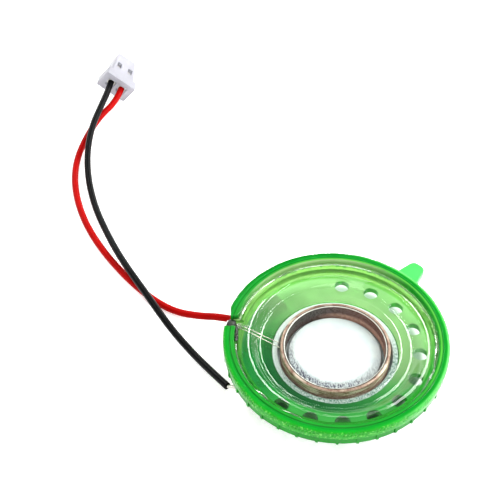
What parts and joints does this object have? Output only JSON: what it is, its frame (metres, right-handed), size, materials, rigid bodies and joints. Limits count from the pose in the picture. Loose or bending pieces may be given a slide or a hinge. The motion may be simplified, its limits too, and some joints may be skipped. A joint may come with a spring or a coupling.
{
  "type": "mini speaker",
  "caption": "Round miniature loudspeaker: clear film diaphragm in a translucent green plastic frame, copper coil over a steel magnet cup, two thin leads ending in a small plug.",
  "frame": {"origin": "centre of the yoke's flat back face", "axes": "+Z the way the diaphragm faces, +X to the right and +Y up when it is looked at from the front with the lead outlet on the left"},
  "size_m": [0.0529, 0.075, 0.0074],
  "materials": {
    "plated_steel": "bright zinc plate",
    "magnet_plate": "nickel-plated sintered magnet",
    "enamelled_copper": "enamelled copper wire",
    "green_frame": "translucent, moulded",
    "green_ring": "translucent, moulded",
    "clear_film": "clear polyester film",
    "clear_cement": "clear cement",
    "paper_laminate": "paper laminate",
    "tinned_copper": "tinned copper",
    "solder": "solder",
    "red_insulation": "PVC insulation",
    "black_insulation": "PVC insulation",
    "white_nylon": "natural nylon",
    "contact_metal": "tin-plated bronze"
  },
  "bodies": {
    "root": {"yoke": "plated_steel", "magnet": "magnet_plate", "pole_plate": "plated_steel", "voice_coil": "enamelled_copper", "frame": "green_frame", "clamp_ring": "green_ring", "diaphragm": "clear_film", "glue_bead": "clear_cement", "lead_cement": "clear_cement", "terminal_board": "paper_laminate", "solder_pad_red": "tinned_copper", "solder_pad_black": "tinned_copper", "solder_joint_red": "solder", "solder_joint_black": "solder", "coil_lead_a": "enamelled_copper", "coil_lead_b": "enamelled_copper", "strands_red": "tinned_copper", "strands_black": "tinned_copper", "wire_red": "red_insulation", "wire_black": "black_insulation", "plug_housing": "white_nylon", "plug_contact_red": "contact_metal", "plug_contact_black": "contact_metal"}
  },
  "joints": []
}
